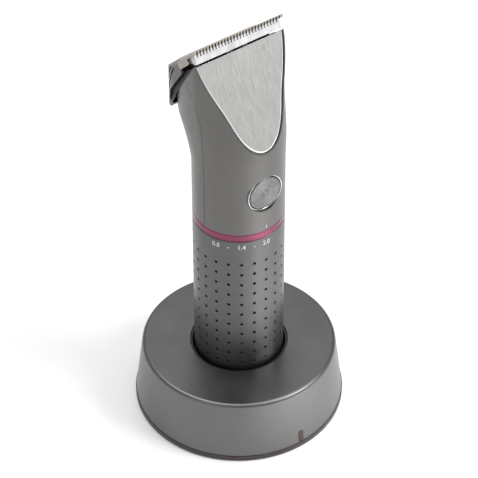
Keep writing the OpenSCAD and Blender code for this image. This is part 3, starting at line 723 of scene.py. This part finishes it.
def make_front_housing():
    """The front shell: round below, cut flat above for the face plate, with the button's hole."""
    low_rows, high_rows, across, floor_steps = 30, 56, 40, 6
    land = 0.6
    starts = front_starts(0, 0, low_rows, high_rows)
    ends = seam_ends([z for _, z in starts])
    ends = [(y - SEAM_GAP, z) for y, z in ends]
    pocket_u, pocket_half = offset_outline(land)
    outer = []
    for j, (start, end) in enumerate(zip(starts, ends)):
        row = skin_row(start, end, 0, across)[::-1]
        if j < low_rows:
            row += [row[-1]] * (floor_steps + 2)
        else:
            k = ((j - low_rows) / high_rows) ** ROW_EASE
            for d, shares in ((0, [1]), (-FACE_T, [1 - m / floor_steps for m in range(floor_steps + 1)])):
                drawn_u = lerp(land, rim_u(d), k)
                drawn = float(np.interp(drawn_u, pocket_u, pocket_half)) if j > low_rows else 0.0
                row += [face_point(drawn * share, drawn_u, d) for share in shares]
        outer.append(row)
    depth = FACE_T + POCKET_BACKING
    starts = front_starts(WALL, depth, low_rows, high_rows)
    inner = []
    for j, (start, end) in enumerate(zip(starts, ends)):
        row = skin_row(start, end, WALL, across)[::-1]
        x, y, z = row[-1]
        row += [(x, y, z)] * 2
        row += [(x * (1 - k / floor_steps), y, z) for k in range(1, floor_steps + 1)]
        inner.append(row)
    points, faces = shell_half(outer, inner)
    faces = [f for f in faces if any(points[i][0] > 1e-6 for i in f)]
    shell = raw_object("housing_front", *mirrored(points, faces), SEAT)
    hole_r, hole_from, hole_to = BUTTON_R + 1, 12, 30
    hole = arc_points(0, BUTTON_Z, hole_r, 0, FULL_TURN, 96)[:-1]
    cut(shell, raw_object("hole_cutter", *prism(hole, hole_from, hole_to, from_front), SEAT))
    bevel(shell, *HOUSING_EDGE)
    dress(shell, "groomer", "gunmetal_satin", ["front_housing"])


def make_rear_housing():
    """The rear shell, flaring back to the blade set's heel."""
    rows, across = 64, 44
    top_rows, row_drop = 12, 0.25

    def grid(inset):
        back_top = solve(lambda z: rim_z(back_depth(z) - inset) - z, 138, 160)
        seam_end = seam_top()
        lines = []
        for j in range(rows + 1):
            k = j / rows
            seam_height, back_height = lerp(HOUSING_Z, seam_end, k), lerp(HOUSING_Z, back_top, k)
            start, end = (seam(seam_height), seam_height), (back_depth(back_height) - inset, back_height)
            row = skin_row(start, end, inset, across)
            if j > rows - top_rows:
                row = [(x, y, min(z, rim_z(y) - row_drop * (rows - j))) for x, y, z in row]
            lines.append(row)
        return lines

    shell = raw_object("housing_rear", *mirrored(*shell_half(grid(0), grid(WALL))), SEAT)
    bevel(shell, *HOUSING_EDGE)
    dress(shell, "groomer", "gunmetal_satin", ["rear_housing"])


def make_face_plate():
    """The shield-shaped plate and the chamfered strip round its edge, whose near-white colour is a painted
    highlight.
    """
    edge, chamfer, drop, joint = 0.9, 0.72, 0.26, 0.02
    top_u = FACE_LEN - 0.35
    bottom, level = joint - FACE_T, 0.02
    inner = edge + chamfer
    outlines = {gap: offset_outline(gap) for gap in (edge, inner, inner + joint)}
    steps, field_steps = 70, 6
    rows = [(j / steps) ** ROW_EASE for j in range(steps)] + [0.994, 1.0]

    def place(gap, k, d, share=1.0):
        u = lerp(gap, top_u, k)
        return face_point(share * max(0.0, float(np.interp(u, *outlines[gap]))) * (k > 0), u, d)

    def build(name, lines):
        points = [p for row in lines for p in row]
        faces = sheet_faces(lines)
        faces.append(tuple(range(len(points) - len(lines[0]), len(points))))
        piece = raw_object(name, *mirrored(points, faces), SEAT)
        bevel(piece, 0.04, 2, 12)
        return piece

    strip = [[place(edge, k, bottom), place(edge, k, -drop), place(inner, k, level), place(inner, k, bottom),
              place(edge, k, bottom)] for k in rows]
    # The chamfer strip takes the painted-highlight colour instead of the plate's steel.
    dress(build("plate_edge", strip), "groomer", "polished_steel", crease=25, finish="chamfer_painted_highlight")
    field = inner + joint
    lines = [[place(field, k, bottom, 0), place(field, k, bottom)]
             + [place(field, k, level, 1 - m / field_steps) for m in range(field_steps + 1)] for k in rows]
    dress(build("shield_plate", lines), "groomer", "face_plate_steel", ["face_plate"], 25)


# --- Button and prints ---
def turned_front(name, profile, segments, body, slot, replaces):
    """A profile of (radius, depth towards the viewer) turned about the button's centre line."""
    points, faces = lathe(profile, segments)
    obj = raw_object(name, [(x, -z, y + BUTTON_Z) for x, y, z in points], faces, SEAT)
    dress(obj, body, slot, replaces)


def make_button():
    """The round power button in its bright bezel."""
    stem_back = BUTTON_BACK - 2.4
    stem_r, stem_edge, edge = 2.2, 0.1, 0.45
    profile = [(AXIS_R, stem_back), (stem_r - stem_edge, stem_back), (stem_r, stem_back + stem_edge),
               (stem_r, BUTTON_BACK), (BUTTON_R, BUTTON_BACK), (BUTTON_R, BUTTON_FACE - edge)]
    profile += [(BUTTON_R - edge + edge * math.cos(a), BUTTON_FACE - edge + edge * math.sin(a))
                for a in (math.pi / 8, math.pi / 4, 3 * math.pi / 8)]
    dish, dish_r, dish_steps = 0.22, BUTTON_R - 0.5, 14
    profile += [(dish_r * (1 - i / dish_steps) + AXIS_R,
                 BUTTON_FACE - dish * (1 - (1 - i / dish_steps) ** 2))
                for i in range(dish_steps + 1)]
    turned_front("button_disc", profile, 128, "button", "spun_metal", ["power_button"])
    inner, outer = BUTTON_R + 0.3, BUTTON_R + 0.9
    low, high = mm_box("button_bezel")
    back, front = -high.y, -low.y
    bezel = rounded([(inner, back, 0), (outer, back, 0), (outer, front, 0.25), (inner, front, 0.3)], 5)
    turned_front("button_ring", bezel, 128, "groomer", "polished_steel", ["button_bezel"])


def make_power_mark():
    """A plain standby mark on the button: a broken ring and a bar."""
    ring_r, half, lift = 1.55, 0.15, 0.03
    opening = math.radians(38)
    steps = 40
    face, sink = BUTTON_FACE - 0.21, 0.05
    bar_low, bar_high = 0.5, 2.1
    outer = arc_points(0, 0, ring_r + half, math.pi / 2 + opening, math.pi / 2 + FULL_TURN - opening, steps)
    inner = arc_points(0, 0, ring_r - half, math.pi / 2 + FULL_TURN - opening, math.pi / 2 + opening, steps)
    bar = [(-half, bar_low), (half, bar_low), (half, bar_high), (-half, bar_high)]
    points, faces = [], []
    for outline in (outer + inner, bar):
        placed = [(a, b + BUTTON_Z) for a, b in outline]
        more, their_faces = prism(placed, face - sink, face + lift, from_front)
        faces += [tuple(i + len(points) for i in f) for f in their_faces]
        points += more
    dress(raw_object("standby_mark", points, faces, SEAT), "button", "switch_black", finish="printed_grey")


LABEL_Z = 92.6
LABEL_STEP = 16.36
LABEL_SIZE = 3.3
LABEL_SQUEEZE = 0.92
LABEL_LIFT = 0.02


def make_labels():
    """The cutting-length scale printed round the grip, and the index line above it."""
    for index, text in enumerate(("2.0", "-", "1.4", "-", "0.8")):
        curve = bpy.data.curves.new("label", "FONT")
        curve.body = text
        curve.size = LABEL_SIZE * MM
        curve.align_x = "CENTER"
        curve.align_y = "CENTER"
        curve.offset = 0.04 * MM
        curve.extrude = 0.03 * MM
        source = link("label_source", curve)
        bpy.context.view_layer.update()
        mesh = bpy.data.meshes.new_from_object(source.evaluated_get(bpy.context.evaluated_depsgraph_get()))
        bpy.data.objects.remove(source)
        turn = -math.radians(index * LABEL_STEP) * BARREL_R
        for vertex in mesh.vertices:
            x, y, d = vertex.co / MM
            place = wrap(x * LABEL_SQUEEZE + turn, y + LABEL_Z + SEAT, -LABEL_LIFT - d)
            vertex.co = Vector(place) * MM
        clean(mesh)
        dress(link(f"scale_mark_{index}", mesh), "dial", "white_acetal", finish="printed_white")
    bar_bottom, bar_top, bar_half = HOUSING_Z + 0.9, HOUSING_Z + 2.7, 0.2
    points = [wrap(a, z, d) for d in (0.05, -0.04) for a, z in
              ((-bar_half, bar_bottom), (bar_half, bar_bottom), (bar_half, bar_top), (-bar_half, bar_top))]
    faces = [(0, 1, 2, 3), (7, 6, 5, 4)] + [(i, (i + 1) % 4, 4 + (i + 1) % 4, 4 + i) for i in range(4)]
    dress(raw_object("index_line", points, faces, SEAT), "groomer", "white_acetal", finish="printed_white")


# --- CAD shapes that keep their outline and get softened edges ---
REFINED = (
    ("dock_base_plate", "base_plate", "dock", "dark_base", 0.25),
    ("dock_well", "well_liner", "dock", "black_plastic", 0.25),
    ("indicator_lens", "light_lens", "dock", "indicator_red", 0.2),
    ("dc_inlet", "inlet_socket", "dock", "black_plastic", 0.3),
    ("rubber_feet", "rubber_pads", "dock", "soft_rubber", 0.3),
    ("bottom_cap", "end_cap", "groomer", "black_plastic", 0.25),
    ("blade_frame", "blade_carrier", "blade_set", "black_plastic", 0.15),
    ("comb_blade", "comb", "blade_set", "blade_steel", 0.08),
    ("moving_blade", "cutter_blade", "cutter", "white_ceramic", 0.07),
    ("bulkhead", "mouth_plate", "groomer", "black_plastic", 0.15),
    ("taper_carriage", "slide_carriage", "carriage", "switch_black", 0.12),
)


def from_side(a, b, d):
    """Places an outline seen from the side, d to the viewer's right."""
    return d, a, b


def from_above(a, b, d):
    """Places an outline seen from above, d upwards."""
    return a, b, d


def make_hood():
    """The metal hood over the blade set, with two guide grooves along each side."""
    hood = softened("blade_cover", "hood", 0.8, 3)
    deep, groove_width, reach = 0.6, 0.95, 30
    side, back = HOOD_HALF - deep, HOOD_BACK - deep
    front = -20
    plan = rounded([(-side, front, 0), (side, front, 0), (side, back, HOOD_SIDE_R),
                    (-side, back, HOOD_SIDE_R)], 16)
    for (y0, z0), (y1, z1) in (((12.5, 179.5), (20.5, 159.0)), ((15.8, 177.0), (23.4, 157.5))):
        strip = [(y0, z0), (y1, z1), (y1 + groove_width, z1), (y0 + groove_width, z0)]
        groove = raw_object("groove_cutter", *prism(strip, -reach, reach, from_side), SEAT)
        cut(groove, raw_object("groove_core", *prism(plan, 140, 200, from_above), SEAT))
        cut(hood, groove)
    dress(hood, "blade_set", "gunmetal_satin", ["blade_cover"])


def dress_cad_nodes():
    """Every CAD node gets the material of the slot that the record names for it."""
    for part in frame["record"]["subparts"]:
        mesh = frame["nodes"][part["node"]].data
        mesh.materials.clear()
        mesh.materials.append(MATERIALS[part["material_slot"]])


# --- Stage ---
def make_stage():
    size, world_strength = 3.0, 0.52
    mesh = bpy.data.meshes.new("floor")
    corners = [(-size, -size, 0), (size, -size, 0), (size, size, 0), (-size, size, 0)]
    mesh.from_pydata(corners, [], [(0, 1, 2, 3)])
    floor = link("floor", mesh)
    finish = Finish("floor_paper", 0.0, 0.7)
    finish.colour(finish.noise(400, 2.0), (0.86, 0.86, 0.86), (0.90, 0.90, 0.90))
    mesh.materials.append(finish.material)
    world = bpy.data.worlds.new("studio")
    world.use_nodes = True
    world.node_tree.nodes["Background"].inputs["Color"].default_value = (1.0, 1.0, 1.0, 1)
    world.node_tree.nodes["Background"].inputs["Strength"].default_value = world_strength
    bpy.context.scene.world = world
    bpy.context.scene.view_settings.view_transform = "Standard"


def area_light(name, place, target, size, power, spread=180):
    data = bpy.data.lights.new(name, "AREA")
    data.shape = "RECTANGLE"
    data.size, data.size_y = size
    data.energy = power
    data.spread = math.radians(spread)
    light = link(name, data)
    light.location = place
    light.rotation_euler = (Vector(target) - Vector(place)).to_track_quat("-Z", "Y").to_euler()


def make_lights():
    middle = (0, 0, 0.1)
    area_light("key", (0.38, -0.50, 0.62), (0.22, -0.30, 0), (0.35, 0.35), 4.8)
    area_light("fill", (-1.0, -0.35, 0.8), middle, (0.9, 0.9), 1.2)
    area_light("floor_glow", (0.03, -0.12, 0.25), (0.03, -0.12, 0), (0.05, 0.05), 0.06, 40)
    area_light("top", (0.05, 0.25, 1.3), middle, (1.0, 1.0), 11)


def make_camera():
    azimuth, elevation, distance = math.radians(-36.3), math.radians(41.3), 1.022
    target = Vector((0, 0, 0.0908))
    arm = Vector((math.sin(azimuth) * math.cos(elevation), -math.cos(azimuth) * math.cos(elevation),
                  math.sin(elevation)))
    data = bpy.data.cameras.new("camera")
    data.sensor_width = 36
    data.lens = 176.9
    data.shift_x, data.shift_y = 0.0008, -0.0020
    camera = link("camera", data)
    camera.location = target + distance * arm
    lean = Quaternion((0, 0, 1), math.radians(-0.15))
    camera.rotation_euler = ((-arm).to_track_quat("-Z", "Y") @ lean).to_euler()
    bpy.context.scene.camera = camera


make_camera()
make_materials()
dress_cad_nodes()
make_dock_shell()
make_grip()
make_accent_ring()
make_front_housing()
make_rear_housing()
make_face_plate()
make_button()
make_power_mark()
make_labels()
for node, name, body, slot, width in REFINED:
    dress(softened(node, name, width), body, slot, [node])
make_hood()
make_stage()
make_lights()
